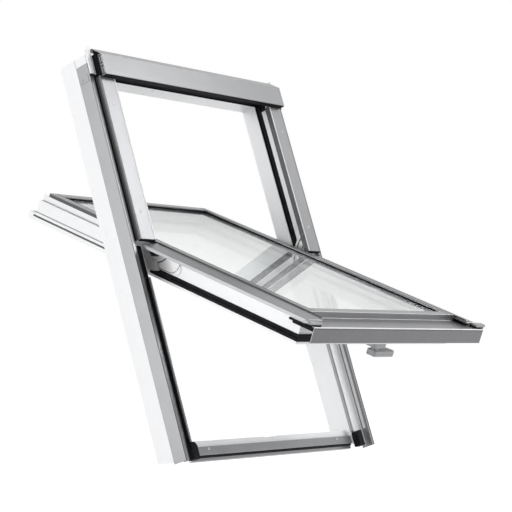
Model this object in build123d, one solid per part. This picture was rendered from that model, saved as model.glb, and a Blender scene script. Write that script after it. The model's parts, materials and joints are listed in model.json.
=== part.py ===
"""Centre-pivot roof window: a white PVC frame and sash with grey aluminium covers.

Everything is drawn in the plane of the closed window, in millimetres:
x runs to the right seen from outside, s up the slope from the lower frame edge,
and n outwards from the room face of the frame. A section across a jamb is given
as (u, n), where u is the distance in from the outer side of the frame. A section
across a head or sill rail is given as (s, n). The sash is drawn closed, swung open
about its pivot axis, and then frame and sash are leant back to the roof pitch.
"""
import math
import os

from build123d import *

# Overall sizes
frame_width = 740.0
frame_length = 980.0
roof_pitch = 71.0
rest_opening = 50.5

# Frame profiles in PVC
jamb_width = 57.0
head_width = 33.0
sill_width = 37.0
cover_start = 47.5
frame_front = 84.5
ledge_height = 61.0
ledge_width = 24.0
trough_floor = 77.0
front_strip = 12.0
trough_width = 8.0
cover_leg_end = 68.0
gasket_groove_floor = 50.0
gasket_rib = 5.0
gasket_groove_width = 11.0
seal_groove_low = 43.0
seal_groove_depth = 5.0
sill_band_height = 58.0
sill_band_width = 20.0
sill_lip_height = 45.0

# Sheet metal
sheet = 1.2
bend = 1.4
fit = 0.1
cover_overhang = 14.0
cover_top_stop = 22.0
sill_drip_height = 50.0

# Raised covers on the upper half
raised_front = 98.0
raised_width = 50.0
raised_lip = 15.0

# Hood over the head
hood_front = 115.0
hood_setback = 60.0
hood_face = 53.0
hood_depth = 14.0
hood_wall = 1.6
hood_inset = 24.0
hood_back_run = 23.0
hood_back_drop = 25.0
hood_flange = 18.0
hood_plate_length = 75.0
hood_plate_height = 11.0
hood_plate_thickness = 2.0

# Pivot and sash
pivot_height = 500.0
pivot_out = 108.0
split_above_pivot = 7.0
split_gap = 2.0
side_gap = 6.5
sash_room_face = 27.0
sash_depth = 70.0
stile_width = 44.5
sash_foot = 44.0
sash_crown_gap = 50.0
crown_step = 25.0
crown_flange = 18.0
shoulder_drop = 17.0
shoulder_width = 10.5
rail_nose = 56.0
nose_thickness = 11.0

# Glazing
glass_pane = 4.0
glass_gap = 16.0
glass_clearance = 4.0
spacer_width = 10.0
trim_width = 22.0
trim_front = 104.0
trim_skirt = 6.0
seal_inset = 6.0
seal_thickness = 2.5
sash_seal_height = 17.0

# Covers on the lower half of the sash
side_cover_inset = 25.0
side_cover_fall = 5.0
side_cover_leg = 8.0
side_cover_foot = 2.0
bottom_cover_inset = 23.0
bottom_cover_front = 89.0
bottom_cover_foot = -20.0
bottom_cover_skirt = 36.0
clip_start = 44.0
clip_length = 18.0
guide_bar_start = 42.0
guide_bar_length = 76.0
guide_bar_step = 64.0
side_seal_reach = 67.0
side_lip_reach = 22.0

# Hinges: a shoe on the sash runs in a curved track on the jamb
track_radius = 57.0
track_groove = 10.0
track_rim = 6.0
track_plate = 3.8
track_floor = 0.4
track_top = 95.0
shoe_clearance = 0.3
shoe_start = 13.0
shoe_span = 14.0
hinge_plate = 1.8
hinge_plate_height = 26.0
hinge_plate_back = 92.0
hinge_plate_ahead = 56.0
hinge_plate_sink = 42.0
hinge_arm_end = 62.0
hinge_screw_places = (14.0, 40.0)
screw_head = 3.2

# Lock and handle
lock_x = 56.0
lock_rise = 34.0
case_length = 52.0
case_width = 30.0
case_depth = 18.0
bolt_width = 16.0
bolt_height = 9.0
bolt_rise = 9.0
bolt_travel = 14.0
bolt_clearance = 0.5
bolt_tail = 26.0
notch_width = 50.0
notch_depth = 6.0
striker_thickness = 1.5
spindle_radius = 6.0
spindle_clearance = 0.05
neck_height = 9.0
lever_length = 86.0
lever_heel = 12.0
lever_width = 27.0
lever_thickness = 14.0
lever_tip = 9.0

# Values that follow from the sizes above
half_width = frame_width / 2
hood_low = frame_length - hood_setback
hood_half = half_width - hood_inset
cover_split = pivot_height + split_above_pivot
sash_crown = frame_length - sash_crown_gap
side_cover_reach = half_width - side_cover_inset
bottom_cover_half = half_width - bottom_cover_inset
hinge_plate_low = pivot_height - hinge_plate_back
hinge_plate_high = pivot_height + hinge_plate_ahead
hinge_plate_middle = pivot_out - hinge_plate_sink
lock_s = sash_foot + lock_rise
bolt_depth = sash_room_face + bolt_rise
inner_half = half_width - jamb_width
head_inner = frame_length - head_width
stile_outer = inner_half - side_gap
stile_inner = stile_outer - stile_width
sash_front = sash_room_face + sash_depth
glass_thickness = 2 * glass_pane + glass_gap
glass_front = trim_front - sheet - trim_skirt
glass_back = glass_front - glass_thickness
shoulder_top = sash_front - shoulder_drop
trim_outer = stile_outer - shoulder_width
trim_inner = trim_outer - trim_width
glass_half = trim_outer - glass_clearance - 2
crown_front = sash_crown - crown_step
foot_trim = sash_foot - 3.0
raised_outer = half_width - front_strip - trough_width
raised_inner = raised_outer - raised_width
hood_top = hood_low + hood_face
ledge_outer = jamb_width - ledge_width


def section_along_slope(outline, start, end):
    """Extrude an (x, n) outline or face from s = start to s = end."""
    plane = Plane(origin=(0, end, 0), x_dir=(1, 0, 0), z_dir=(0, -1, 0))
    face = outline if not isinstance(outline, list) else make_face(Polyline(*outline, close=True))
    return extrude(plane * face, amount=end - start)


def section_across(outline, start, end):
    """Extrude an (s, n) outline or face from x = start to x = end."""
    plane = Plane(origin=(start, 0, 0), x_dir=(0, 1, 0), z_dir=(1, 0, 0))
    face = outline if not isinstance(outline, list) else make_face(Polyline(*outline, close=True))
    return extrude(plane * face, amount=end - start)


def section_outwards(outline, start, end):
    """Extrude an (x, s) outline or face from n = start to n = end."""
    face = outline if not isinstance(outline, list) else make_face(Polyline(*outline, close=True))
    return extrude(Plane.XY.offset(start) * face, amount=end - start)


def block(x_low, x_high, s_low, s_high, n_low, n_high):
    """A plain block between two corners."""
    size = (x_high - x_low, s_high - s_low, n_high - n_low)
    place = ((x_low + x_high) / 2, (s_low + s_high) / 2, (n_low + n_high) / 2)
    return Pos(*place) * Box(*size)


def bent_sheet(points, side, thickness=sheet):
    """The face of a sheet bent along the points, thickened to one side."""
    path = FilletPolyline(*points, radius=bend)
    return make_face(offset(path, amount=thickness, side=side, closed=True).edges())


def from_side(points):
    """Turn (u, n) points, measured from the outer side, into (x, n) points."""
    return [(half_width - u, n) for u, n in points]


def mirrored(solid):
    """The left-hand copy of a right-hand piece."""
    return mirror(solid, about=Plane.YZ)


def along_x(radius, length, x_low, s, n):
    """A cylinder lying along x."""
    return Pos(x_low + length / 2, s, n) * Rot(0, 90, 0) * Cylinder(radius, length)


def outwards(radius, length, x, s, n_low):
    """A cylinder standing along n."""
    return Pos(x, s, n_low + length / 2) * Cylinder(radius, length)


def along_slope(radius, length, x, s_low, n):
    """A cylinder lying along s."""
    return Pos(x, s_low + length / 2, n) * Rot(90, 0, 0) * Cylinder(radius, length)


def frame_jamb():
    """PVC jamb: outer wall for the cover, ledge, gasket groove below and seal groove above."""
    wall = front_strip - sheet - fit
    outline = from_side([
        (0, 0), (jamb_width, 0), (jamb_width, ledge_height), (front_strip, ledge_height),
        (front_strip, cover_leg_end - 0.3), (wall, cover_leg_end - 0.3),
        (wall, frame_front - sheet - fit), (sheet + fit, frame_front - sheet - fit),
        (sheet + fit, cover_start), (0, cover_start)])
    body = section_along_slope(outline, 0, frame_length)
    body -= block(inner_half + gasket_rib, inner_half + gasket_rib + gasket_groove_width, -1,
                  cover_split, gasket_groove_floor, ledge_height + 1)
    return body - block(inner_half, inner_half + seal_groove_depth, seal_base_start, head_inner,
                        seal_groove_low, ledge_height)


def frame_head():
    """PVC head rail between the jambs, under the hood."""
    outline = [(head_inner, 0), (frame_length, 0), (frame_length, raised_front - sheet),
               (head_inner, raised_front - sheet), (head_inner, ledge_height),
               (head_inner + seal_groove_depth, ledge_height),
               (head_inner + seal_groove_depth, seal_groove_low), (head_inner, seal_groove_low)]
    return section_across(outline, -inner_half, inner_half)


def notch_cut():
    """The shallow half-round finger notch in the middle of the sill's lip, as a tool."""
    radius = (notch_width ** 2 / 4 + notch_depth ** 2) / (2 * notch_depth)
    return outwards(radius, 2 * notch_depth, 0, sill_width - notch_depth + radius,
                    sill_lip_height - notch_depth)


def frame_sill():
    """PVC sill rail with its lip, the finger notch and the bolt pocket behind the striker."""
    outline = [(0, 0), (sill_width, 0), (sill_width, sill_lip_height),
               (sill_band_width - sheet - fit, sill_lip_height),
               (sill_band_width - sheet - fit, sill_band_height - sheet - fit),
               (sheet + fit, sill_band_height - sheet - fit), (sheet + fit, sill_drip_height - sheet - fit),
               (0, sill_drip_height - sheet - fit)]
    body = section_across(outline, -inner_half, inner_half)
    body -= notch_cut()
    pocket_half = bolt_width / 2 + 3
    seat = sill_width - striker_thickness
    body -= block(lock_x - 15.2, lock_x + 15.2, seat, sill_width + 1, striker_low, striker_high + 0.2)
    return body - block(lock_x - pocket_half, lock_x + pocket_half, seat - 12, seat + 1,
                        bolt_depth - bolt_height, sill_lip_height - 3)


def striker_plate():
    """Steel plate with a slot for the lock bolt, let into the face of the sill's lip."""
    seat = sill_width - striker_thickness
    plate = block(lock_x - 15, lock_x + 15, seat, sill_width, striker_low, striker_high)
    slot_half = bolt_width / 2 + 1.5
    slot = block(lock_x - slot_half, lock_x + slot_half, seat - 1, sill_width + 1,
                 bolt_depth - bolt_height / 2 - 1.5, bolt_depth + bolt_height / 2 + 1.5)
    return plate - slot


def jamb_cover():
    """Aluminium cover that wraps the outer wall of a jamb, with an inner leg on the lower half."""
    wrap = [(0, cover_start), (0, frame_front), (front_strip, frame_front)]
    body = section_along_slope(bent_sheet(from_side(wrap), Side.LEFT), cover_split,
                               frame_length - cover_top_stop)
    wrap.append((front_strip, cover_leg_end))
    return body + section_along_slope(bent_sheet(from_side(wrap), Side.LEFT), -cover_overhang, cover_split)


def upper_riser():
    """PVC profile on the upper half of a jamb: a foot on the ledge and the bearer of the raised cover."""
    start = cover_split + split_gap
    foot = block(inner_half, half_width - front_strip - fit, start, frame_length, ledge_height, trough_floor)
    top = raised_front - sheet - fit
    inner = block(inner_half, end_block_inner, start, frame_length, trough_floor, top)
    return foot + inner + block(end_block_inner, raised_outer - sheet - fit, start, hood_low + 2,
                                trough_floor, top)


def raised_cover():
    """Aluminium cover over the upper half, turned down along both edges."""
    path = [(raised_inner, raised_front - raised_lip), (raised_inner, raised_front),
            (raised_outer, raised_front), (raised_outer, trough_floor + 0.3)]
    return section_along_slope(bent_sheet(path, Side.RIGHT), cover_split + split_gap, hood_low + 2)


def trough_seal():
    """Black strip that fills the trough between the jamb cover and the raised cover."""
    low = raised_outer + 0.3
    high = half_width - front_strip
    top = frame_front - sheet
    outline = [(low, trough_floor), (high, trough_floor), (high, top), (high - 2, top), (high - 3, top - 2),
               (low + 3, top - 2), (low + 2, top), (low, top)]
    return section_along_slope(outline, cover_split + split_gap, hood_low + 8.7)


def upper_seal():
    """Rubber seal in the groove of the upper jamb, with two lips."""
    face = inner_half + 1.5
    end = head_inner - 1.2
    body = block(face, inner_half + seal_groove_depth, seal_base_start, end, seal_groove_low, ledge_height)
    for low in (seal_groove_low + 1, ledge_height - 5):
        body += section_along_slope([(face, low), (face, low + 4), (face - 3, low + 3), (face - 3, low + 2)],
                                    seal_start, end)
    return body


def head_seal():
    """Rubber seal across the head rail."""
    low = head_inner - 1
    body = block(-inner_half, inner_half, low, head_inner + seal_groove_depth, seal_groove_low, ledge_height)
    for height in (seal_groove_low + 2, ledge_height - 6):
        body += section_across([(low, height), (low, height + 4), (low - 4, height + 3), (low - 4, height + 1.5)],
                               -inner_half + 3, inner_half - 3)
    return body


def lower_seal():
    """Rubber gasket in the groove of the lower jamb, with a bead against the rib and a low lip."""
    inner = jamb_width - gasket_rib - 0.2
    outer = inner - gasket_groove_width + 0.4
    floor = gasket_groove_floor
    top = ledge_height
    outline = from_side([
        (inner, floor), (inner, top + 2.5), (inner - 2, top + 3.2), (inner - 3.6, top + 1.5),
        (inner - 3.6, floor + 5), (inner - 5.2, floor + 5), (inner - 5.6, top - 1), (inner - 7.4, top - 1),
        (inner - 7.8, floor + 3), (outer, floor + 3), (outer, floor)])
    return section_along_slope(outline, lower_block_top, seal_stop)


def upper_corner_block():
    """Ribbed rubber block where the upper seal meets the head."""
    base = block(inner_half - 1.5, inner_half, head_inner - 26, head_inner, ledge_height + 1, trough_floor)
    for row in range(3):
        low = head_inner - 25 + row * 8
        base += block(inner_half - 4, inner_half - 1.5, low, low + 5, ledge_height + 2, trough_floor - 1)
    return base


def lower_corner_block():
    """Rubber block that closes the lower end of the ledge."""
    low = half_width - jamb_width + 2
    high = half_width - ledge_outer - 1.6
    body = block(low, high, -cover_overhang + 2, lower_block_top - 0.3, ledge_height + fit, trough_floor + 3)
    tall = body.edges().filter_by(Axis.Z).group_by(Axis.X)[0].sort_by(Axis.Y)[-1]
    return fillet(tall, 12)


def sill_cover():
    """Aluminium cover of the sill: a raised band and a lower drip strip."""
    path = [(sill_band_width, sill_lip_height + 0.3), (sill_band_width, sill_band_height),
            (0, sill_band_height), (0, sill_drip_height), (-cover_overhang + 2, sill_drip_height),
            (-cover_overhang + 2, sill_drip_height - 9)]
    return section_across(bent_sheet(path, Side.LEFT), -inner_half + 0.3, inner_half - 0.3)


def sill_seal():
    """Rubber strip under the raised band of the sill."""
    outline = [(-0.2, sill_drip_height + 2), (-0.2, sill_band_height - 2), (-3, sill_band_height - 3),
               (-4, sill_drip_height + 3), (-5, sill_drip_height + 0.1), (-2, sill_drip_height + 0.1)]
    return section_across(outline, -inner_half + 2, inner_half - 2)


def hood():
    """Extruded aluminium hood: a hollow front box with a web, and a sheet that falls to the back."""
    box = make_face(Polyline(
        (hood_low, hood_front - hood_depth), (hood_low, hood_front), (hood_top, hood_front),
        (hood_top, hood_front - hood_depth), close=True))
    web = hood_low + hood_face / 2
    for low, high in ((hood_low, web), (web, hood_top)):
        box -= make_face(Polyline(
            (low + hood_wall, hood_front - hood_depth + hood_wall), (low + hood_wall, hood_front - hood_wall),
            (high - hood_wall, hood_front - hood_wall), (high - hood_wall, hood_front - hood_depth + hood_wall),
            close=True))
    back = hood_front - hood_back_drop
    fall = bent_sheet([(hood_top - 2, hood_front), (hood_top, hood_front), (hood_top + hood_back_run, back),
                       (hood_top + hood_back_run, back - hood_flange)], Side.RIGHT, hood_wall)
    body = section_across(box, -hood_half, hood_half) + section_across(fall, -hood_half, hood_half)
    return body


def hood_end_block():
    """Black block that carries the hood on the jamb and closes the end of the raised cover."""
    base = trough_floor + fit
    top = hood_front - hood_depth - 0.3
    back = raised_front - 8
    outline = [(hood_low + 4, base), (frame_length + 0.4, base), (frame_length + 0.4, back),
               (hood_top + hood_back_run - 4, back), (hood_top + 4, hood_front - 8),
               (hood_top + 0.3, hood_front - 6), (hood_top + 0.3, top), (hood_low + 4, top)]
    body = section_across(outline, end_block_inner + fit, hood_half - 0.5)
    return body + block(hood_half - 1, raised_outer + 0.2, hood_low + 4, frame_length - 3, base, top)


def hood_side_plate():
    """White strip that stands in the trough beside the end block and runs out past the head."""
    low = hood_low + 9
    start = raised_outer + 0.4
    return block(start, start + hood_plate_thickness, low, low + hood_plate_length,
                 trough_floor + fit, trough_floor + hood_plate_height)


def head_bar():
    """Black foam bar between the head rail and the hood."""
    return block(-hood_half + 28, hood_half - 28, head_inner + 3, hood_top - 3, raised_front - sheet,
                 hood_front - hood_depth)


def cover_clip():
    """Sheet clip with a screw, over the upper end of the jamb cover."""
    top = frame_length - cover_top_stop
    plate = block(half_width, half_width + 0.8, top - clip_start, top - clip_start + clip_length, cover_start + 3, frame_front - 6)
    return plate + along_x(screw_head, 1.6, half_width, top - clip_start + clip_length / 2, cover_start + 11)


def sash_stile():
    """PVC stile with its glazing rebate and the outer shoulder."""
    outline = [(stile_inner, sash_room_face), (stile_outer, sash_room_face), (stile_outer, shoulder_top),
               (trim_outer, shoulder_top), (trim_outer, glass_front), (glass_half + glass_clearance, glass_front),
               (glass_half + glass_clearance, glass_back), (stile_inner, glass_back)]
    body = section_along_slope(outline, sash_foot, sash_crown)
    step = sash_room_face + crown_flange
    return body - block(stile_inner - 1, stile_outer + 1, crown_front, sash_crown + 1, step, sash_front + 5)


def sash_top_rail():
    """PVC top rail between the stiles."""
    outline = [(crown_inner, sash_room_face), (sash_crown, sash_room_face),
               (sash_crown, sash_room_face + crown_flange), (crown_front, sash_room_face + crown_flange),
               (crown_front, glass_front), (glass_top + glass_clearance, glass_front),
               (glass_top + glass_clearance, glass_back), (crown_inner, glass_back)]
    return section_across(outline, -stile_inner, stile_inner)


def sash_bottom_rail():
    """PVC bottom rail with its nose under the bottom cover, bored for the spindle and the bolt."""
    nose_top = bottom_cover_front - sheet
    outline = [(sash_foot, sash_room_face), (foot_inner, sash_room_face), (foot_inner, glass_back),
               (glass_foot - glass_clearance, glass_back), (glass_foot - glass_clearance, glass_front),
               (foot_trim + sheet, glass_front), (foot_trim + sheet, nose_top),
               (sash_foot - rail_nose, nose_top), (sash_foot - rail_nose, nose_top - nose_thickness),
               (sash_foot, nose_top - nose_thickness)]
    body = section_across(outline, -stile_inner, stile_inner)
    slot_w = bolt_width / 2 + bolt_clearance
    slot_h = bolt_height / 2 + bolt_clearance
    body -= block(lock_x - slot_w, lock_x + slot_w, sash_foot - 1, lock_s + 8,
                  bolt_depth - slot_h, bolt_depth + slot_h)
    return body - outwards(spindle_radius + 0.6, bolt_depth - sash_room_face + 8, lock_x, lock_s,
                           sash_room_face - 1)


def glass_pane_at(n_low):
    """One pane of the sealed glass unit."""
    return block(-glass_half, glass_half, glass_foot, glass_top, n_low, n_low + glass_pane)


def glass_spacer():
    """Hollow bar frame between the panes."""
    low = glass_back + glass_pane
    outer = block(-glass_half + 1, glass_half - 1, glass_foot + 1, glass_top - 1, low, low + glass_gap)
    inset = 1 + spacer_width
    return outer - block(-glass_half + inset, glass_half - inset, glass_foot + inset, glass_top - inset,
                         low - 1, low + glass_gap + 1)


def glazing_seal(inner, outer, n_low, n_high):
    """A rubber ring between the glass and its rebate or trim."""
    ring = block(-outer[0], outer[0], outer[1], outer[2], n_low, n_high)
    return ring - block(-inner[0], inner[0], inner[1], inner[2], n_low - 1, n_high + 1)


def side_trim():
    """Aluminium glazing trim along a stile."""
    path = [(trim_inner, trim_front - 3), (trim_inner, trim_front), (trim_outer, trim_front),
            (trim_outer, glass_front)]
    return section_along_slope(bent_sheet(path, Side.RIGHT), foot_trim, crown_front - crown_flange)


def end_trim(outer, inner):
    """Aluminium glazing trim across the top or bottom of the glass, between the side trims."""
    side = Side.RIGHT if inner < outer else Side.LEFT
    path = [(inner, trim_front - 3), (inner, trim_front), (outer, trim_front), (outer, glass_front)]
    return section_across(bent_sheet(path, side), -trim_inner + 0.2, trim_inner - 0.2)


def side_cover():
    """Aluminium cover over the lower half of a stile, falling to a turned-down edge."""
    high = trim_front - 2
    low = high - side_cover_fall
    path = [(trim_outer + 0.4, high - 6), (trim_outer + 0.4, high), (side_cover_reach, low),
            (side_cover_reach, low - side_cover_leg)]
    return section_along_slope(bent_sheet(path, Side.RIGHT), side_cover_foot, cover_split - split_gap)


def cover_web():
    """PVC strip that carries a side cover beside the stile, cut back where the hinge track stands."""
    high = trim_front - 2 - side_cover_fall - sheet
    outline = [(stile_outer - shoulder_width + 1.8, shoulder_top), (stile_outer, shoulder_top),
               (stile_outer + 3, high - 6), (side_cover_reach - sheet - 6, high - 6),
               (side_cover_reach - sheet - 6, high - 0.6), (trim_outer + 1.8, high - 0.6)]
    body = section_along_slope(outline, foot_trim + 5, cover_split - split_gap - 3)
    reach = track_radius + track_groove / 2 + track_rim + 6
    return body - block(stile_outer, inner_half + 1, pivot_height - reach, cover_split, shoulder_top, trim_front)


def bottom_cover():
    """Aluminium cover over the lower edge of the sash, with its front skirt."""
    upright = [(foot_trim, bottom_cover_front - sheet), (foot_trim + sheet, bottom_cover_front - sheet),
               (foot_trim + sheet, glass_front - 0.2), (foot_trim, glass_front - 0.2)]
    flange = bent_sheet([(foot_trim + sheet, bottom_cover_front), (bottom_cover_foot, bottom_cover_front),
                         (bottom_cover_foot, bottom_cover_front - bottom_cover_skirt),
                         (bottom_cover_foot + 6, bottom_cover_front - bottom_cover_skirt)], Side.LEFT)
    body = section_across(flange, -bottom_cover_half, bottom_cover_half)
    return body + section_across(upright, -trim_inner + 0.2, trim_inner - 0.2)


def end_cap():
    """Rounded plastic cap between the bottom cover and the lower end of a side cover."""
    low = bottom_cover_front + 0.2
    high = trim_front - 2 - side_cover_fall - sheet - 0.4
    cap = block(stile_outer + 3.4, side_cover_reach - 2, side_cover_foot + 0.5, foot_trim, low, high)
    corner = cap.edges().filter_by(Axis.Z).group_by(Axis.X)[-1].sort_by(Axis.Y)[0]
    return fillet(corner, 4)


def side_seal():
    """Rubber strip along the outside of a stile, with a lip up to the hinge track."""
    low = sash_room_face + seal_inset
    start = sash_foot - seal_thickness
    end = hinge_plate_low + side_seal_reach
    body = block(stile_outer, stile_outer + 1, start, end, low, low + sash_seal_height)
    lip = [(stile_outer + 1, low + 2), (stile_outer + 4.6, low + 5), (stile_outer + 4.6, low + 7),
           (stile_outer + 1, low + 10)]
    return body + section_along_slope(lip, start, hinge_plate_low + side_lip_reach)


def foot_seal():
    """Rubber strip along the lower face of the bottom rail, slotted for the lock bolt."""
    low = sash_room_face + seal_inset
    body = block(-stile_outer, stile_outer, sash_foot - seal_thickness, sash_foot, low, low + sash_seal_height)
    half = bolt_width / 2 + 1.5
    return body - block(lock_x - half, lock_x + half, sash_foot - 4, sash_foot + 1,
                        low - 1, bolt_depth + bolt_height / 2 + 1.5)


def side_bar():
    """Black stepped guide bar on the side of a stile near its lower end."""
    low = shoulder_top - 11
    start = sash_foot - guide_bar_start
    outline = [(start, low), (start + guide_bar_step, low), (start + guide_bar_step, low + 4),
               (start + guide_bar_length, low + 4), (start + guide_bar_length, low + 9), (start, low + 9)]
    body = section_across(outline, stile_outer, stile_outer + 4)
    end = body.edges().filter_by(Axis.X).group_by(Axis.Y)[-1]
    return fillet(end, 2.2)


def track_plate_piece():
    """Steel plate on the jamb with the curved groove that the sash shoe runs in."""
    outer = track_radius + track_groove / 2 + track_rim
    inner = track_radius - track_groove / 2 - track_rim
    start = inner_half - track_plate
    ring = along_x(outer, track_plate, start, pivot_height, pivot_out)
    ring -= along_x(inner, track_plate + 2, start - 1, pivot_height, pivot_out)
    groove = along_x(track_radius + track_groove / 2, track_plate - track_floor, start, pivot_height, pivot_out)
    groove -= along_x(track_radius - track_groove / 2, track_plate + 2, start - 1, pivot_height, pivot_out)
    keep = block(start - 1, inner_half + 1, pivot_height - outer - 1, pivot_height + outer + 1, 0, track_top)
    return (ring - groove) & keep


def track_screws():
    """Four screws through the floor of the track plate."""
    heads = []
    for angle in (45, 75, 105, 135):
        s = pivot_height + (track_radius - track_groove / 2 - track_rim / 2) * math.cos(math.radians(angle))
        n = pivot_out - (track_radius - track_groove / 2 - track_rim / 2) * math.sin(math.radians(angle))
        heads.append(along_x(track_rim / 2 - 0.6, 0.5, inner_half - track_plate - 0.5, s, n))
    return heads


def arc_piece(inner, outer, first, last, x_low, x_high):
    """A piece of a ring about the pivot axis, between two angles below the slope line."""
    points = [(pivot_height, pivot_out)]
    steps = 4
    for step in range(steps + 1):
        turn = math.radians(first + (last - first) * step / steps)
        points.append((pivot_height + 2 * track_radius * math.cos(turn),
                       pivot_out - 2 * track_radius * math.sin(turn)))
    sector = section_across(points, x_low, x_high)
    ring = along_x(outer, x_high - x_low, x_low, pivot_height, pivot_out)
    ring -= along_x(inner, x_high - x_low + 2, x_low - 1, pivot_height, pivot_out)
    return ring & sector


def sash_hinge():
    """Steel hinge plate on the stile, with a curved arm and the shoe that runs in the track."""
    length = hinge_plate_high - hinge_plate_low
    middle = (hinge_plate_high + hinge_plate_low) / 2
    plane = Plane(origin=(stile_outer, middle, hinge_plate_middle), x_dir=(0, 1, 0), z_dir=(1, 0, 0))
    plate = extrude(plane * SlotOverall(length, hinge_plate_height), amount=hinge_plate)
    low = track_radius - track_groove / 2 + shoe_clearance
    high = track_radius + track_groove / 2 - shoe_clearance
    tip = inner_half - track_floor - shoe_clearance
    arm = arc_piece(low, high, shoe_start, hinge_arm_end, stile_outer, stile_outer + hinge_plate)
    shoe = arc_piece(low, high, shoe_start, shoe_start + shoe_span, stile_outer, tip)
    return plate + arm + shoe


def hinge_screws():
    """Screw heads on the hinge plate of the stile."""
    start = stile_outer + hinge_plate
    return [along_x(screw_head, 0.6, start, s, hinge_plate_middle)
            for s in (hinge_plate_low + place for place in hinge_screw_places)]


def lock_case():
    """Rounded lock case on the room face of the bottom rail, bored for the spindle."""
    case = block(lock_x - case_length / 2, lock_x + case_length / 2, lock_s - case_width / 2,
                 lock_s + case_width / 2, sash_room_face - case_depth, sash_room_face)
    case = fillet(case.edges().filter_by(Axis.Z), 8)
    case = fillet(case.faces().sort_by(Axis.Z)[0].edges(), 2)
    return case - outwards(spindle_radius + spindle_clearance, case_depth + 2, lock_x, lock_s,
                           sash_room_face - case_depth - 1)


def handle_lever():
    """Lever with its neck and spindle: a flat bar with a rounded heel and a pointed end."""
    high = sash_room_face - case_depth - neck_height
    half = lever_width / 2
    heel = lever_heel
    end = lever_length - heel
    outline = make_face(Polyline(
        (-heel, -half), (end - lever_tip, -half), (end, -half + 9), (end - 4, half), (-heel, half), close=True))
    bar = Pos(lock_x, lock_s, high - lever_thickness) * extrude(outline, amount=lever_thickness)
    bar = fillet(bar.edges().filter_by(Axis.Z).group_by(Axis.X)[0], 6)
    bar = fillet(bar.faces().sort_by(Axis.Z)[0].edges(), 2)
    neck = outwards(9, neck_height, lock_x, lock_s, high)
    spindle = outwards(spindle_radius, case_depth + 6, lock_x, lock_s, high + neck_height - 0.5)
    return bar + neck + spindle


def lock_bolt():
    """Sliding bolt in the bottom rail, rounded at its tip."""
    bolt = block(lock_x - bolt_width / 2, lock_x + bolt_width / 2, sash_foot, sash_foot + bolt_tail,
                 bolt_depth - bolt_height / 2, bolt_depth + bolt_height / 2)
    return fillet(bolt.edges().filter_by(Axis.X).group_by(Axis.Y)[0], 2.5)


seal_start = pivot_height + track_radius + track_groove / 2 + track_rim + 5
seal_stop = pivot_height - track_radius - track_groove / 2 - track_rim - 5
seal_base_start = seal_start - 33
lower_block_top = 28.0
striker_low = bolt_depth - bolt_height
striker_high = sill_lip_height - 1
end_block_inner = hood_half - 26
foot_inner = sash_foot + stile_width
crown_inner = sash_crown - stile_width - 20
glass_foot = foot_trim + sheet + 2 + glass_clearance
glass_top = crown_front - crown_flange - 5.5


def place_frame(solid):
    """Lean a piece of the frame back to the roof pitch, with the origin on the lining face."""
    return Rot(roof_pitch, 0, 0) * Pos(0, -sill_width / 2, 0) * solid


def place_sash(solid):
    """Swing a piece of the sash open about the pivot axis, then place it as the frame is."""
    swing = Pos(0, pivot_height, pivot_out) * Rot(-rest_opening, 0, 0) * Pos(0, -pivot_height, -pivot_out)
    return place_frame(swing * solid)


def frame_pieces():
    """Every piece of the fixed frame, by name."""
    pieces = {
        "frame_head_rail": frame_head(),
        "frame_sill_rail": frame_sill(),
        "striker_plate": striker_plate(),
        "sill_cover": sill_cover(),
        "sill_seal": sill_seal(),
        "head_seal": head_seal(),
        "top_hood": hood(),
        "hood_foam_bar": head_bar(),
    }
    pairs = {
        "frame_jamb": frame_jamb(),
        "jamb_cover": jamb_cover(),
        "upper_riser": upper_riser(),
        "raised_cover": raised_cover(),
        "upper_seal": upper_seal(),
        "lower_seal": lower_seal(),
        "hood_end_block": hood_end_block(),
        "hood_side_plate": hood_side_plate(),
        "hinge_track": track_plate_piece(),
    }
    return both_sides(pieces, pairs)


def sash_pieces():
    """Every piece of the swinging sash, by name."""
    crown_trim = crown_front - crown_flange
    ring_outer = (glass_half - 0.5, glass_foot + 0.5, glass_top - 0.5)
    ring_inner = (trim_inner - 1, foot_trim + trim_width + 1, crown_trim - trim_width - 1)
    pieces = {
        "sash_top_rail": sash_top_rail(),
        "sash_bottom_rail": sash_bottom_rail(),
        "glass_inner_pane": glass_pane_at(glass_back),
        "glass_outer_pane": glass_pane_at(glass_back + glass_pane + glass_gap),
        "glass_spacer": glass_spacer(),
        "glazing_seal": glazing_seal(ring_inner, ring_outer, glass_front, trim_front - 3.2),
        "top_trim": end_trim(crown_trim, crown_trim - trim_width),
        "bottom_trim": end_trim(foot_trim, foot_trim + trim_width),
        "bottom_cover": bottom_cover(),
        "sash_foot_seal": foot_seal(),
        "lock_case": lock_case(),
    }
    pairs = {
        "sash_stile": sash_stile(),
        "side_trim": side_trim(),
        "side_cover": side_cover(),
        "cover_web": cover_web(),
        "sash_side_seal": side_seal(),
        "sash_hinge": sash_hinge(),
    }
    return both_sides(pieces, pairs)


def both_sides(pieces, pairs):
    """Add a right-hand and a left-hand piece for each pair."""
    for name, solid in pairs.items():
        pieces[name + "_right"] = solid
        pieces[name + "_left"] = mirrored(solid)
    return pieces


def twins(solids):
    """Small like pieces of both sides as one group of separate solids."""
    return Compound(children=solids + [mirrored(solid) for solid in solids])


def frame_groups():
    """The small pieces of the frame that come in left and right twins."""
    return {
        "track_screws": twins(track_screws()),
        "trough_seals": twins([trough_seal()]),
        "upper_corner_blocks": twins([upper_corner_block()]),
        "lower_corner_blocks": twins([lower_corner_block()]),
        "cover_clips": twins([cover_clip()]),
    }


def sash_groups():
    """The small pieces of the sash that come in left and right twins."""
    return {
        "hinge_screws": twins(hinge_screws()),
        "side_cover_caps": twins([end_cap()]),
        "side_guide_bars": twins([side_bar()]),
    }


def write(name, shape):
    """Write one piece to its own STEP file."""
    shape.label = name
    export_step(shape, "parts/" + name + ".step")


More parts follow.
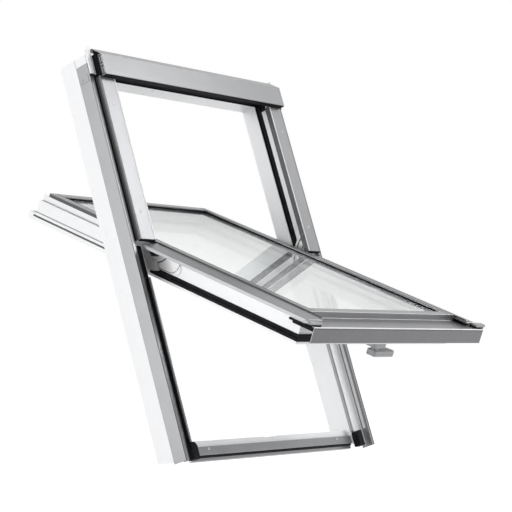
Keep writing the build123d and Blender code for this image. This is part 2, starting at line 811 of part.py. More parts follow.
def main():
    os.makedirs("parts", exist_ok=True)
    for name, shape in (frame_pieces() | frame_groups()).items():
        write(name, place_frame(shape))
    sash = sash_pieces() | sash_groups() | {"handle_lever": handle_lever(), "lock_bolt": lock_bolt()}
    for name, shape in sash.items():
        write(name, place_sash(shape))


main()
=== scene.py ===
import json
import math

import bmesh
import bpy
from mathutils import Matrix, Vector


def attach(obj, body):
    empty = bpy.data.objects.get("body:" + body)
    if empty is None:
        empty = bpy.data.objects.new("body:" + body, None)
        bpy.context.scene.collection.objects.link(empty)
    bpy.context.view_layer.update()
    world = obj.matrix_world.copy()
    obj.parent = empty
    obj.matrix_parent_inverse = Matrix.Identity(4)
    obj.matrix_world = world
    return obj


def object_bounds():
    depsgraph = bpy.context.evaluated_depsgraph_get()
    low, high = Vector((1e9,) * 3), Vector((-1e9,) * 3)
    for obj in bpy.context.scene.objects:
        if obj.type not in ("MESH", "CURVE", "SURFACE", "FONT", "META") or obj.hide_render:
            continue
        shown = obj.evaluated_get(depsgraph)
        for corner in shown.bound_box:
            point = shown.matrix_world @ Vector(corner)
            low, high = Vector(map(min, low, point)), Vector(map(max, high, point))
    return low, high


bl_info = {
    "name": "Roof window dressing",
    "version": (1, 0, 0),
    "blender": (4, 5, 0),
    "location": "View3D > Sidebar > Roof window",
    "description": "Finishes and small fittings of a centre-pivot roof window",
    "category": "Object",
}

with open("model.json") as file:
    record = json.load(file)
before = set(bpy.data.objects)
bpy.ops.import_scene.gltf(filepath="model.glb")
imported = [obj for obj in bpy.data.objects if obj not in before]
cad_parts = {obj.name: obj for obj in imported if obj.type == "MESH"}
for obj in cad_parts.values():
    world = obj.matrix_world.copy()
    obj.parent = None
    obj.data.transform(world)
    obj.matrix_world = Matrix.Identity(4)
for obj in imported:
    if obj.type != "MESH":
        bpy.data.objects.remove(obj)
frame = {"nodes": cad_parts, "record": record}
CAD_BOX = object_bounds()

# Lengths are in metres and places in the closed window's own plane, unless said otherwise:
# x runs to the right seen from outside, s up the slope, n outwards from the room face
PITCH = math.radians(71.0)
OPENING = math.radians(50.5)
PIVOT = (0.500, 0.108)
SILL_MIDDLE = 0.0185
STILE_FACE = 0.3065
BOTH = (-1, 1)
ONE = (1,)


def lean_matrix():
    """Takes the frame's own plane to the row frame."""
    return Matrix.Rotation(PITCH, 4, "X") @ Matrix.Translation((0, -SILL_MIDDLE, 0))


def swing_matrix():
    """Takes the closed sash to its open rest place in the row frame."""
    pivot = Vector((0, PIVOT[0], PIVOT[1]))
    turn = Matrix.Rotation(-OPENING, 4, "X")
    return lean_matrix() @ Matrix.Translation(pivot) @ turn @ Matrix.Translation(-pivot)


PLACES = {"frame": lean_matrix(), "sash": swing_matrix(), "handle": swing_matrix()}


class FinishSettings(bpy.types.PropertyGroup):
    """Colours of the window."""

    pvc: bpy.props.FloatVectorProperty(
        name="PVC", description="Colour of the white PVC", subtype="COLOR",
        default=(0.86, 0.865, 0.875), min=0.0, max=1.0)
    cover: bpy.props.FloatVectorProperty(
        name="Covers", description="Colour of the painted aluminium covers", subtype="COLOR",
        default=(0.26, 0.262, 0.27), min=0.0, max=1.0)
    rubber: bpy.props.FloatVectorProperty(
        name="Rubber", description="Colour of the seals", subtype="COLOR",
        default=(0.006, 0.006, 0.007), min=0.0, max=1.0)
    handle: bpy.props.FloatVectorProperty(
        name="Handle", description="Colour of the handle's lacquer", subtype="COLOR",
        default=(0.25, 0.255, 0.265), min=0.0, max=1.0)


class FittingSettings(bpy.types.PropertyGroup):
    """Sizes of the small fittings that are added to the model."""

    screw_radius: bpy.props.FloatProperty(
        name="Screw head radius", description="Radius of a cover screw's head",
        default=0.0032, unit="LENGTH", min=0.001, max=0.01)
    screw_height: bpy.props.FloatProperty(
        name="Screw head height", description="Height of a cover screw's head",
        default=0.0012, unit="LENGTH", min=0.0002, max=0.005)
    weld_width: bpy.props.FloatProperty(
        name="Weld width", description="Width of the welded corner line",
        default=0.0016, unit="LENGTH", min=0.0002, max=0.005)
    weld_height: bpy.props.FloatProperty(
        name="Weld height", description="Height of the welded corner line",
        default=0.0003, unit="LENGTH", min=0.0001, max=0.002)


class StageSettings(bpy.types.PropertyGroup):
    """Camera, floor and light."""

    lens: bpy.props.FloatProperty(
        name="Lens", description="Focal length of the camera in millimetres",
        default=117.11, min=20.0, max=400.0)
    floor_drop: bpy.props.FloatProperty(
        name="Floor drop", description="How far the floor lies below the window",
        default=0.35, unit="LENGTH", min=0.0, max=3.0)
    world_strength: bpy.props.FloatProperty(
        name="World strength", description="Strength of the even light all round",
        default=0.52, min=0.0, max=5.0)
    key_power: bpy.props.FloatProperty(
        name="Key power", description="Power of the large lamp on the left in watts",
        default=110.0, min=0.0, max=5000.0)


# Materials


class Nodes:
    """A small helper that adds and links shader nodes."""

    def __init__(self, name):
        self.material = bpy.data.materials.new(name)
        self.material.use_nodes = True
        self.tree = self.material.node_tree
        self.shader = self.tree.nodes["Principled BSDF"]
        self.coordinates = self.tree.nodes.new("ShaderNodeTexCoord")

    def add(self, kind, inputs=None, **settings):
        node = self.tree.nodes.new(kind)
        for key, value in settings.items():
            setattr(node, key, value)
        for key, value in (inputs or {}).items():
            if isinstance(value, bpy.types.NodeSocket):
                self.tree.links.new(value, node.inputs[key])
            else:
                node.inputs[key].default_value = value
        return node

    def link(self, socket, name):
        self.tree.links.new(socket, self.shader.inputs[name])

    def place(self, scale=(1, 1, 1)):
        node = self.add("ShaderNodeMapping", {"Vector": self.coordinates.outputs["Object"], "Scale": scale})
        return node.outputs["Vector"]

    def noise(self, scale, detail=4.0, stretch=(1, 1, 1), roughness=0.55):
        inputs = {"Vector": self.place(stretch), "Scale": scale, "Detail": detail, "Roughness": roughness}
        return self.add("ShaderNodeTexNoise", inputs).outputs["Fac"]

    def spread(self, value, low, high):
        node = self.add("ShaderNodeMapRange", {"Value": value, "To Min": low, "To Max": high})
        return node.outputs["Result"]

    def tint(self, value, dark, light):
        ramp = self.add("ShaderNodeValToRGB", {"Fac": value})
        ramp.color_ramp.elements[0].position = 0.3
        ramp.color_ramp.elements[1].position = 0.7
        ramp.color_ramp.elements[0].color = (*dark, 1)
        ramp.color_ramp.elements[1].color = (*light, 1)
        return ramp.outputs["Color"]

    def bump(self, height, strength, distance):
        node = self.add("ShaderNodeBump", {"Height": height, "Strength": strength, "Distance": distance})
        self.link(node.outputs["Normal"], "Normal")


# Colours of the small trims that scene pieces take beside the slots' own finishes: mostly painted shade and
# painted highlights, beside a thin seal and the rib gaskets
TRIM_COLOURS = {
    # painted shade: dark for shadow gaps, grooves, hub rims and the hinges' hollows; also the thin seal strip
    # on the sash stiles
    "dark_trim": (0.03, 0.03, 0.033),
    # painted shade grey for the lines along the stiles; the rib gaskets also take this grey
    "reveal_grey": (0.3, 0.3, 0.305),
    # painted highlight: light lines along the cover edges
    "bright_trim": (0.84, 0.84, 0.85),
    # painted shade: the bottom cover's skirt, darker than the cover
    "skirt_paint": (0.095, 0.095, 0.103),
}


def shade(colour, factor):
    """A colour made lighter or darker."""
    return tuple(min(1.0, channel * factor) for channel in colour)


def pvc_material(colour):
    """Smooth white PVC with a faint ripple and slight grime."""
    n = Nodes("white_pvc")
    n.link(n.tint(n.noise(9.0), shade(colour, 0.985), shade(colour, 1.012)), "Base Color")
    n.link(n.spread(n.noise(60.0), low=0.24, high=0.34), "Roughness")
    n.bump(n.noise(260.0, detail=2.0), strength=0.04, distance=0.0004)
    n.shader.inputs["Coat Weight"].default_value = 0.25
    n.shader.inputs["Coat Roughness"].default_value = 0.12
    return n.material


def cover_material(colour):
    """Powder-coated aluminium with a fine grain and cloudy sheen."""
    n = Nodes("painted_cover")
    n.link(n.tint(n.noise(14.0, detail=5.0), shade(colour, 0.96), shade(colour, 1.03)), "Base Color")
    n.link(n.spread(n.noise(90.0), low=0.28, high=0.36), "Roughness")
    n.bump(n.noise(1500.0, detail=2.0), strength=0.12, distance=0.0002)
    n.shader.inputs["Metallic"].default_value = 0.6
    n.shader.inputs["Specular IOR Level"].default_value = 0.4
    return n.material


def rubber_material(colour):
    """Matt black rubber with drawn-out extrusion lines."""
    n = Nodes("black_rubber")
    n.link(n.tint(n.noise(40.0), colour, shade(colour, 2.2)), "Base Color")
    n.link(n.spread(n.noise(120.0), low=0.55, high=0.75), "Roughness")
    n.bump(n.noise(900.0, detail=3.0), strength=0.2, distance=0.0003)
    n.shader.inputs["Specular IOR Level"].default_value = 0.08
    return n.material


def steel_material():
    """Zinc-plated steel with a rolled grain."""
    n = Nodes("plated_steel")
    grain = n.noise(30.0, detail=6.0, stretch=(1, 12, 12), roughness=0.7)
    n.link(n.tint(grain, (0.52, 0.52, 0.525), (0.62, 0.62, 0.625)), "Base Color")
    n.link(n.spread(grain, low=0.28, high=0.42), "Roughness")
    n.bump(grain, strength=0.08, distance=0.0003)
    n.shader.inputs["Metallic"].default_value = 0.35
    return n.material


def spacer_material():
    """Aluminium spacer with rows of small holes towards the gap."""
    n = Nodes("spacer_aluminium")
    cells = n.add("ShaderNodeTexVoronoi", {"Vector": n.place(), "Scale": 420.0})
    n.link(n.tint(cells.outputs["Distance"], (0.3, 0.3, 0.31), (0.62, 0.62, 0.63)), "Base Color")
    n.link(n.spread(n.noise(70.0), low=0.3, high=0.45), "Roughness")
    n.shader.inputs["Metallic"].default_value = 0.9
    return n.material


def glass_material():
    """Clear glass with the slightest waviness."""
    n = Nodes("clear_glass")
    n.link(n.tint(n.noise(6.0), (0.95, 0.97, 0.97), (0.98, 0.99, 0.99)), "Base Color")
    n.shader.inputs["Transmission Weight"].default_value = 1.0
    n.shader.inputs["Roughness"].default_value = 0.0
    n.shader.inputs["IOR"].default_value = 1.45
    n.bump(n.noise(5.0, detail=1.0), strength=0.02, distance=0.0005)
    return n.material


def lacquer_material(colour, name):
    """Lacquered or moulded surface with a soft orange peel."""
    n = Nodes(name)
    n.link(n.tint(n.noise(25.0), shade(colour, 0.95), shade(colour, 1.04)), "Base Color")
    n.link(n.spread(n.noise(110.0), low=0.3, high=0.42), "Roughness")
    n.bump(n.noise(420.0, detail=2.0), strength=0.08, distance=0.0003)
    n.shader.inputs["Coat Weight"].default_value = 0.2
    return n.material


def material(name):
    """One of the materials made above."""
    return bpy.data.materials[name]


SLOT_MATERIALS = {
    "pvc_white": "white_pvc",
    "cover_grey": "painted_cover",
    "seal_black": "black_rubber",
    "steel": "plated_steel",
    "spacer_metal": "spacer_aluminium",
    "glass": "clear_glass",
    "handle_grey": "handle_lacquer",
}
NODE_MATERIALS = {"cover_clips": "painted_cover"}


# Mesh helpers


def finish_mesh(name, mesh_edit, body, slot, look=None):
    """Turn a bmesh into a piece that rides on the body, in its slot's material or another look."""
    mesh_edit.transform(PLACES[body])
    bmesh.ops.recalc_face_normals(mesh_edit, faces=mesh_edit.faces)
    mesh = bpy.data.meshes.new(name)
    mesh_edit.to_mesh(mesh)
    mesh_edit.free()
    mesh.materials.append(material(look or SLOT_MATERIALS[slot]))
    piece = bpy.data.objects.new(name, mesh)
    bpy.context.scene.collection.objects.link(piece)
    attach(piece, body)


def extrude(mesh_edit, face, shift, scale=1.0):
    """Extrude a face along shift, drawn in by scale about the z axis, and return the new face.

    The face itself stays, as the end of a prism does.
    """
    made = bmesh.ops.extrude_face_region(mesh_edit, geom=[face])["geom"]
    verts = [item for item in made if isinstance(item, bmesh.types.BMVert)]
    bmesh.ops.scale(mesh_edit, vec=(scale, scale, 1.0), verts=verts)
    bmesh.ops.translate(mesh_edit, vec=shift, verts=verts)
    return next(item for item in made if isinstance(item, bmesh.types.BMFace))


def add_prism(mesh_edit, outline, axis, start, end):
    """Add a closed prism: outline points are given in the two other axes, in order."""
    across = [i for i in range(3) if i != axis]
    verts = []
    for pair in outline:
        point = [start, start, start]
        for i, value in zip(across, pair):
            point[i] = value
        verts.append(mesh_edit.verts.new(point))
    shift = [0.0, 0.0, 0.0]
    shift[axis] = end - start
    extrude(mesh_edit, mesh_edit.faces.new(verts), shift)


def arc_points(centre, radius, start, end, steps):
    """Points of an arc from start to end, in degrees, with both ends."""
    points = []
    for step in range(steps + 1):
        turn = math.radians(start + (end - start) * step / steps)
        points.append((centre[0] + radius * math.cos(turn), centre[1] + radius * math.sin(turn)))
    return points


# A screw head, in shares of its radius and height: how high its wall and crown stand, how wide
# the crown is, the cross's arm and half width, and the recess floor's width and height
WALL_LEVEL = 0.5
CROWN_LEVEL = 0.92
CROWN_WIDTH = 0.8
CROSS_ARM = 0.55
CROSS_HALF = 0.13
RECESS_WIDTH = 0.8
RECESS_LEVEL = 0.4


def screw_head(radius, height, count=20):
    """A domed head with a cross recess, standing on z = 0."""
    head = bmesh.new()
    base = bmesh.ops.create_circle(head, cap_ends=True, segments=count, radius=radius)["verts"]
    wall = extrude(head, base[0].link_faces[0], (0, 0, height * WALL_LEVEL))
    crown = extrude(head, wall, (0, 0, height * (CROWN_LEVEL - WALL_LEVEL)), CROWN_WIDTH)
    arm, half = radius * CROSS_ARM, radius * CROSS_HALF
    corners = []
    for quarter in range(4):
        turn = Matrix.Rotation(math.radians(90 * quarter), 4, "Z")
        for x, y in ((arm, -half), (arm, half), (half, half)):
            corners.append(head.verts.new(turn @ Vector((x, y, height))))
    cross = head.faces.new(corners)
    extrude(head, cross, (0, 0, height * (RECESS_LEVEL - 1)), RECESS_WIDTH)
    edges = [*crown.edges, *cross.edges]
    bmesh.ops.delete(head, geom=[wall, crown, cross], context="FACES_ONLY")
    bmesh.ops.triangle_fill(head, edges=edges, use_beauty=True)
    return head


def add_screw(target, radius, height, place, direction, twist):
    """Add a screw head to a bmesh, standing on place and looking along direction."""
    head = screw_head(radius, height)
    turn = Vector(direction).to_track_quat("Z", "Y").to_matrix().to_4x4()
    head.transform(Matrix.Translation(place) @ turn @ Matrix.Rotation(twist, 4, "Z"))
    mesh = bpy.data.meshes.new("screw_scratch")
    head.to_mesh(mesh)
    head.free()
    target.from_mesh(mesh)
    bpy.data.meshes.remove(mesh)


def add_ridge(mesh_edit, start, end, width, height, level):
    """Add a low ridge from start to end, (x, s) points, on the room face at that level."""
    first, last = Vector((*start, level)), Vector((*end, level))
    side = (last - first).normalized().cross(Vector((0, 0, 1))) * width / 2
    corners = (first + side, first - side, first - Vector((0, 0, height)))
    extrude(mesh_edit, mesh_edit.faces.new([mesh_edit.verts.new(corner) for corner in corners]), last - first)


def add_strip(mesh_edit, low, high, chamfer=0.0003):
    """Add a bar between two corners, long edges chamfered, along its longest side."""
    sizes = [high[i] - low[i] for i in range(3)]
    axis = sizes.index(max(sizes))
    i, j = (k for k in range(3) if k != axis)
    c = min(chamfer, 0.3 * sizes[i], 0.3 * sizes[j])
    (a0, a1), (b0, b1) = (low[i], high[i]), (low[j], high[j])
    outline = [(a0 + c, b0), (a1 - c, b0), (a1, b0 + c), (a1, b1 - c),
               (a1 - c, b1), (a0 + c, b1), (a0, b1 - c), (a0, b0 + c)]
    add_prism(mesh_edit, outline, axis, low[axis], high[axis])


def add_strips(mesh_edit, bars, sides):
    """Add bars given in millimetres as (x0, x1, s0, s1, n0, n1), once for each side of the window."""
    for side in sides:
        for x0, x1, *rest in bars:
            xs = sorted((side * x0 / 1000, side * x1 / 1000))
            s0, s1, n0, n1 = (value / 1000 for value in rest)
            add_strip(mesh_edit, (xs[0], s0, n0), (xs[1], s1, n1))


def bevel_edges(mesh_edit, width, sharp_angle=0.6):
    """Round every edge that turns by more than the sharp angle, in radians."""
    bmesh.ops.recalc_face_normals(mesh_edit, faces=mesh_edit.faces)
    sharp = [edge for edge in mesh_edit.edges if edge.calc_face_angle(0.0) > sharp_angle]
    bmesh.ops.bevel(
        mesh_edit, geom=sharp, offset=width, segments=3, profile=0.5, material=-1, affect="EDGES")


# Operators


class WINDOW_OT_finishes(bpy.types.Operator):
    """Make the materials and give every CAD node its own finish."""

    bl_idname = "window.finishes"
    bl_label = "Finishes"

    def execute(self, context):
        colours = context.scene.window_finish
        pvc_material(colours.pvc)
        cover_material(colours.cover)
        rubber_material(colours.rubber)
        steel_material()
        spacer_material()
        glass_material()
        lacquer_material(colours.handle, "handle_lacquer")
        # Trim materials, most of them painted shade and painted highlights
        for name, colour in TRIM_COLOURS.items():
            lacquer_material(colour, name)
        slots = {row["node"]: row["material_slot"] for row in frame["record"]["subparts"]}
        for name, node in frame["nodes"].items():
            node.data.materials.clear()
            node.data.materials.append(material(NODE_MATERIALS.get(name, SLOT_MATERIALS[slots[name]])))
        return {"FINISHED"}


# Screws: place and the turn of the cross; the cover screws stand on both sides
COVER_SCREWS = (
    ((0.327, 0.577, 0.098), 0.4),
    ((0.327, 0.850, 0.098), 0.9),
    ((0.2515, 0.0139, 0.058), 0.2))
CASE_SCREWS = (
    ((0.036, 0.078, 0.0092), 0.7),
    ((0.076, 0.078, 0.0092), 0.7))
CASE_SCREW_RADIUS = 0.0024
CASE_SCREW_HEIGHT = 0.0008


class WINDOW_OT_screws(bpy.types.Operator):
    """Add the cross-recess screws of the covers, the sill and the lock case."""

    bl_idname = "window.screws"
    bl_label = "Screws"

    def execute(self, context):
        sizes = context.scene.window_fittings
        fixed = bmesh.new()
        for side in BOTH:
            for (x, s, n), twist in COVER_SCREWS:
                add_screw(fixed, sizes.screw_radius, sizes.screw_height, (side * x, s, n), (0, 0, 1), twist)
        finish_mesh("cover_screws", fixed, "frame", "steel")
        case = bmesh.new()
        for place, twist in CASE_SCREWS:
            add_screw(case, CASE_SCREW_RADIUS, CASE_SCREW_HEIGHT, place, (0, 0, -1), twist)
        finish_mesh("lock_case_screws", case, "sash", "steel")
        return {"FINISHED"}


# Bars in millimetres: name, body, slot, look, sides, then (x0, x1, s0, s1, n0, n1) for each bar,
# given on the right and mirrored to the left where both sides have it
BARS = (
    # painted shade: dark lines in the gaps and under the edges of the frame's covers
    ("frame_shade_lines", "frame", "seal_black", "dark_trim", BOTH, (
        (368.2, 370.2, -14, 957, 84.1, 85.1),
        (357.8, 359.6, -14, 506, 84.4, 85.2),
        (348.4, 350.3, 509, 921, 97.5, 98.6),
        (299.2, 299.9, 511, 920, 83.4, 96.6))),
    # painted highlights: light lines along the frame covers' edges
    ("frame_edge_highlights", "frame", "cover_grey", "bright_trim", BOTH, (
        (299.9, 303.0, 509, 921, 97.9, 98.6),
        (357.3, 358.1, 32, 505, 72.0, 80.0))),
    ("pivot_ledge_pads", "frame", "seal_black", "black_rubber", BOTH, (
        (316.0, 349.0, 428, 505, 61.1, 62.6),)),
    ("cover_end_gaskets", "frame", "seal_black", "black_rubber", BOTH, (
        (300.5, 349.0, 506, 508.8, 88.0, 97.0),
        (358.5, 368.0, 923.5, 928.8, 84.7, 88.6))),
    ("pivot_pad", "frame", "seal_black", "black_rubber", ONE, (
        (313.1, 315.0, 432, 505, 61.2, 88.5),)),
    ("hood_chamber_fills", "frame", "cover_grey", "painted_cover", BOTH, (
        (336, 345.3, 924.5, 942.5, 103.4, 106.6),
        (336, 345.3, 924.5, 942.5, 109.2, 112.4),
        (336, 345.3, 950.5, 969.5, 103.4, 106.6),
        (336, 345.3, 950.5, 969.5, 109.2, 112.4))),
    ("rib_gaskets", "frame", "seal_black", "reveal_grey", BOTH, (
        (313.2, 318.0, 28.5, 427, 61.05, 66.5),)),
    ("side_strips", "frame", "pvc_white", "white_pvc", BOTH, (
        (358.0, 369.2, 929, 991, 84.7, 90.0),)),
    # painted shadow: a black strip under the hood's lower face for the gap beneath it
    ("hood_shadow_lip", "frame", "seal_black", "black_rubber", ONE, (
        (-345.7, 345.7, 918.6, 920.1, 98.7, 113.6),)),
    # painted shade: dark lines in the gaps and under the sash covers' edges; the fourth bar is the thin seal
    # on each stile
    ("sash_shade_and_seal_lines", "sash", "seal_black", "dark_trim", BOTH, (
        (295.9, 297.2, 512, 886, 94.5, 102.0),
        (292.6, 297.5, 5, 503, 101.9, 104.5),
        (273.9, 274.9, 45, 885, 103.7, 104.4),
        (306.4, 307.1, 512, 912, 36.5, 41.0),
        (280.0, 286.5, 38.4, 39.9, 99.0, 103.6))),
    # painted shade: grey lines along the stiles below the cover and the seal
    ("stile_shade_lines", "sash", "seal_black", "reveal_grey", BOTH, (
        (295.9, 297.2, 512, 903, 80.0, 81.2),
        (306.4, 307.0, 512, 912, 47.5, 50.5))),
    ("seal_ends", "sash", "seal_black", "black_rubber", BOTH, (
        (306.4, 307.5, 475, 498, 33.0, 50.0),)),
    # painted shadow: the fifth bar, black under each corner cap, stands for the gap beneath it; the other
    # bars are ribs
    ("corner_ribs_and_shadow_gaps", "sash", "seal_black", "black_rubber", BOTH, (
        (298, 305, 8, 14, 89.2, 96.0),
        (298, 305, 18, 24, 89.2, 96.0),
        (298, 305, 28, 34, 89.2, 96.0),
        (297.5, 306, 36, 43.8, 80.4, 96.0),
        (319, 352.5, -16.0, 2.4, 89.1, 92.7),
        (345.1, 346.3, 0.7, 2.0, 89.1, 98.0))),
    # painted highlight: a light line along the front edge of each side cover's end
    ("side_cover_edge_highlights", "sash", "cover_grey", "bright_trim", BOTH, (
        (297.5, 345.0, 0.8, 2.0, 97.0, 99.2),)),
    # painted shade: a thin darker plate over the bottom cover's skirt front
    ("skirt_shade_plate", "sash", "cover_grey", "skirt_paint", ONE, (
        (-346.9, 346.9, -20.7, -20.05, 53.5, 84.6),)),
    ("trim_end_plates", "sash", "cover_grey", "painted_cover", BOTH, (
        (273.9, 297.0, 39.8, 40.9, 89.1, 103.8),)),
    # painted highlights: light lines along the bottom cover's edges
    ("bottom_cover_highlight_lines", "sash", "cover_grey", "bright_trim", ONE, (
        (-347, 347, -21.0, -18.6, 87.0, 89.5),
        (-296, 296, 39.4, 41.1, 88.9, 89.7),
        (-296, 296, 40.4, 41.8, 103.4, 104.3))),
    # painted shade: a dark bar in the bottom cover's groove
    ("bottom_cover_groove_shade", "sash", "seal_black", "dark_trim", ONE, (
        (-347, 347, -20.8, -19.9, 84.6, 87.0),)),
)


class WINDOW_OT_lines(bpy.types.Operator):
    """Add the gaskets, pads, strips and thin plates along the profiles, and the dark and light lines painted
    as shade and highlights along their edges and gaps.
    """

    bl_idname = "window.lines"
    bl_label = "Gaskets and edge lines"

    def execute(self, context):
        for name, body, slot, look, sides, bars in BARS:
            edit = bmesh.new()
            add_strips(edit, bars, sides)
            finish_mesh(name, edit, body, slot, look)
        return {"FINISHED"}


# Corner caps: outline in (x, s), and where it starts and ends in n
CAP_OUTLINE = (
    (0.317, 0.0006), (0.3625, 0.0006), (0.3625, -0.010), (0.359, -0.016), (0.346, -0.0175), (0.317, -0.0175))
CAP_LEVELS = (0.0926, 0.0986)
CAP_ROUNDING = 0.0015

# Hub plates on the stiles, in (s, n): a round end about the centre, in degrees, and a straight end
HUB_CENTRE = (0.441, 0.078)
HUB_ARC = (156, 270)
HUB_ARC_STEPS = 19
HUB_END = 0.500

# Name, radius, thickness, slot and look of each
HUBS = (
    # the rims are painted shadow: a dark ring just larger than each hub plate
    ("hub_shadow_rims", 0.0262, 0.0019, "seal_black", "dark_trim"),
    ("hinge_hubs", 0.0246, 0.0020, "steel", "plated_steel"))

# Painted shade of the hinge's hollows: thin dark plates on the stile, in (s, n): an arc about the pivot, in
# degrees, and an outline
ARC_RADII = (0.0472, 0.0505)
ARC_ENDS = (-84, -146)
ARC_STEPS = 16
HOLLOW_SHADE_OUTLINE = ((0.515, 0.078), (0.504, 0.0705), (0.485, 0.076), (0.472, 0.088), (0.515, 0.088))
HOLLOW_SHADE_THICKNESS = 0.0021


class WINDOW_OT_caps(bpy.types.Operator):
    """Add the corner caps of the bottom cover, the hinges' hub plates with rims of painted shadow, and dark
    plates painted as the shade in the hinges' hollows.
    """

    bl_idname = "window.caps"
    bl_label = "Caps and hubs"

    def execute(self, context):
        caps = bmesh.new()
        for side in BOTH:
            add_prism(caps, [(side * x, s) for x, s in CAP_OUTLINE], 2, *CAP_LEVELS)
        bevel_edges(caps, CAP_ROUNDING)
        finish_mesh("corner_caps", caps, "sash", "cover_grey")
        for name, radius, depth, slot, look in HUBS:
            hubs = bmesh.new()
            outline = arc_points(HUB_CENTRE, radius, *HUB_ARC, HUB_ARC_STEPS)
            outline += [(HUB_END, HUB_CENTRE[1] - radius), (HUB_END, outline[0][1])]
            for side in BOTH:
                add_prism(hubs, outline, 0, side * STILE_FACE, side * (STILE_FACE + depth))
            finish_mesh(name, hubs, "sash", slot, look)
        near, far = ARC_RADII
        first, last = ARC_ENDS
        arc = arc_points(PIVOT, near, first, last, ARC_STEPS) + arc_points(PIVOT, far, last, first, ARC_STEPS)
        # thin dark plates painted as the shade in the hinges' hollows
        hollow_shade_plates = bmesh.new()
        for side in BOTH:
            for outline in (arc, HOLLOW_SHADE_OUTLINE):
                add_prism(hollow_shade_plates, outline, 0, side * STILE_FACE, side * (STILE_FACE + HOLLOW_SHADE_THICKNESS))
        finish_mesh("hinge_hollow_shades", hollow_shade_plates, "sash", "seal_black", "dark_trim")
        return {"FINISHED"}


# Weld lines: body, level of the room face in n, and the two ends in (x, s) of each line
WELDS = (
    ("frame", 0.0, (((0.3695, 0.0005), (0.3135, 0.0365)), ((0.3695, 0.9795), (0.3135, 0.9475)))),
    ("sash", 0.027, (((0.306, 0.0445), (0.2625, 0.088)), ((0.306, 0.9295), (0.2625, 0.866)))),
)


class WINDOW_OT_welds(bpy.types.Operator):
    """Add the fine welded lines across the PVC corners of frame and sash."""

    bl_idname = "window.welds"
    bl_label = "Corner welds"

    def execute(self, context):
        sizes = context.scene.window_fittings
        width, height = sizes.weld_width, sizes.weld_height
        for body, level, lines in WELDS:
            edit = bmesh.new()
            for (x0, s0), (x1, s1) in lines:
                for side in BOTH:
                    add_ridge(edit, (side * x0, s0), (side * x1, s1), width, height, level)
            finish_mesh(body + "_corner_welds", edit, body, "pvc_white")
        return {"FINISHED"}


# Half the width of the floor
FLOOR_REACH = 30.0

# Lamps, in the row frame: name, place, target, size, and share of the key lamp's power
LAMPS = (
    ("key_lamp", (-4.7, 2.0, 1.2), (0, 0, 0.45), 3.0, 1.0),
    ("fill_lamp", (1.95, -1.95, 2.4), (-0.2, 0, 0.6), 1.1, 0.28),
    ("low_lamp", (0.8, -3.5, 0.1), (0, 0, 0.3), 1.5, 0.36),
)

# The photograph's viewpoint in the frame's own plane
CAMERA_PLACE = (-3.188, -0.545, 2.459)
CAMERA_RIGHT = (0.6193, -0.2526, 0.7434)
CAMERA_UP = (-0.0406, 0.9353, 0.3516)
CAMERA_BACK = (-0.7841, -0.2479, 0.5689)


class WINDOW_OT_stage(bpy.types.Operator):
    """Make the floor, the light and the camera."""

    bl_idname = "window.stage"
    bl_label = "Stage"

    def execute(self, context):
        settings = context.scene.window_stage
        make_floor(settings.floor_drop)
        make_world(settings.world_strength)
        make_lamps(settings.key_power)
        make_camera(settings.lens)
        context.scene.view_settings.view_transform = "Standard"
        return {"FINISHED"}


def seen_by_camera(tree):
    """1 where the camera sees a thing, also in a reflection or through glass."""
    path = tree.nodes.new("ShaderNodeLightPath")
    value = path.outputs["Is Camera Ray"]
    for name in ("Is Transmission Ray", "Is Glossy Ray"):
        either = tree.nodes.new("ShaderNodeMath")
        either.operation = "MAXIMUM"
        tree.links.new(value, either.inputs[0])
        tree.links.new(path.outputs[name], either.inputs[1])
        value = either.outputs["Value"]
    return value


def make_floor(drop):
    """A wide pale floor that shows white to the camera and keeps the shadow."""
    low = CAD_BOX[0].z - drop
    edit = bmesh.new()
    bmesh.ops.create_grid(edit, x_segments=2, y_segments=2, size=FLOOR_REACH)
    mesh = bpy.data.meshes.new("floor")
    edit.to_mesh(mesh)
    edit.free()
    floor = bpy.data.objects.new("floor", mesh)
    floor.location = (0, 0, low)
    bpy.context.scene.collection.objects.link(floor)
    n = Nodes("pale_floor")
    n.link(n.tint(n.noise(0.6, detail=2.0), (0.85, 0.85, 0.85), (0.88, 0.88, 0.88)), "Base Color")
    n.shader.inputs["Roughness"].default_value = 0.9
    n.shader.inputs["Specular IOR Level"].default_value = 0.0
    n.shader.inputs["Emission Color"].default_value = (1, 1, 1, 1)
    n.link(n.spread(seen_by_camera(n.tree), low=0.0, high=0.75), "Emission Strength")
    mesh.materials.append(n.material)


def make_world(strength):
    """Even white light, and a white background to the camera and in reflections."""
    world = bpy.data.worlds.new("studio")
    bpy.context.scene.world = world
    world.use_nodes = True
    tree = world.node_tree
    background = tree.nodes["Background"]
    background.inputs["Color"].default_value = (1, 1, 1, 1)
    mix = tree.nodes.new("ShaderNodeMapRange")
    mix.inputs["To Min"].default_value = strength
    mix.inputs["To Max"].default_value = 1.0
    tree.links.new(seen_by_camera(tree), mix.inputs["Value"])
    tree.links.new(mix.outputs["Result"], background.inputs["Strength"])


def add_lamp(name, place, target, size, power):
    """A square area lamp that looks at the target."""
    data = bpy.data.lights.new(name, "AREA")
    data.size = size
    data.energy = power
    lamp = bpy.data.objects.new(name, data)
    lamp.location = place
    lamp.rotation_mode = "QUATERNION"
    lamp.rotation_quaternion = (Vector(target) - Vector(place)).to_track_quat("-Z", "Y")
    bpy.context.scene.collection.objects.link(lamp)


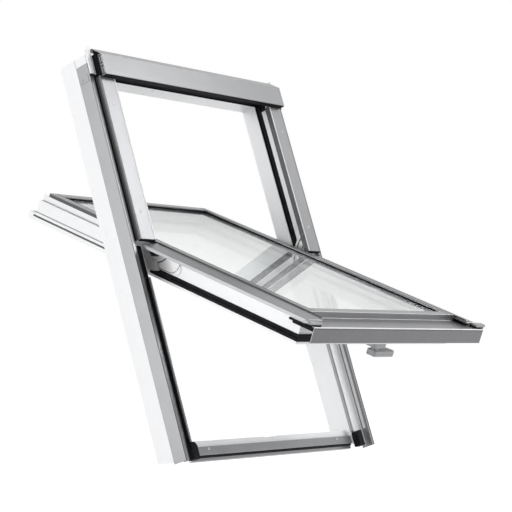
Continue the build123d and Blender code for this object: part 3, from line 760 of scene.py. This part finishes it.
def make_lamps(power):
    """One large lamp on the left, a smaller one on the right and a low one in front."""
    for name, place, target, size, share in LAMPS:
        add_lamp(name, place, target, size, power * share)


def make_camera(lens):
    """A camera at the photograph's viewpoint."""
    data = bpy.data.cameras.new("photo_camera")
    data.lens = lens
    data.sensor_width = 36.0
    data.clip_end = 200.0
    camera = bpy.data.objects.new("photo_camera", data)
    axes = Matrix((CAMERA_RIGHT, CAMERA_UP, CAMERA_BACK)).transposed().to_4x4()
    camera.matrix_world = lean_matrix() @ Matrix.Translation(CAMERA_PLACE) @ axes
    bpy.context.scene.collection.objects.link(camera)
    bpy.context.scene.camera = camera


class WINDOW_PT_panel(bpy.types.Panel):
    """Buttons and settings of the window's dressing."""

    bl_idname = "WINDOW_PT_panel"
    bl_label = "Roof window"
    bl_space_type = "VIEW_3D"
    bl_region_type = "UI"
    bl_category = "Roof window"

    def draw(self, context):
        for group in ("window_finish", "window_fittings", "window_stage"):
            settings = getattr(context.scene, group)
            box = self.layout.box()
            for name in settings.__annotations__:
                box.prop(settings, name)
        for operator in OPERATORS:
            self.layout.operator(operator.bl_idname)


OPERATORS = (
    WINDOW_OT_finishes, WINDOW_OT_screws, WINDOW_OT_lines, WINDOW_OT_caps, WINDOW_OT_welds, WINDOW_OT_stage)
GROUPS = {
    "window_finish": FinishSettings,
    "window_fittings": FittingSettings,
    "window_stage": StageSettings,
}


def register():
    for cls in (*GROUPS.values(), *OPERATORS, WINDOW_PT_panel):
        bpy.utils.register_class(cls)
    for name, group in GROUPS.items():
        setattr(bpy.types.Scene, name, bpy.props.PointerProperty(type=group))


def unregister():
    for name in GROUPS:
        delattr(bpy.types.Scene, name)
    for cls in reversed((*GROUPS.values(), *OPERATORS, WINDOW_PT_panel)):
        bpy.utils.unregister_class(cls)


def main():
    register()
    bpy.ops.window.finishes()
    bpy.ops.window.screws()
    bpy.ops.window.lines()
    bpy.ops.window.caps()
    bpy.ops.window.welds()
    bpy.ops.window.stage()


if __name__ == "__main__":
    main()
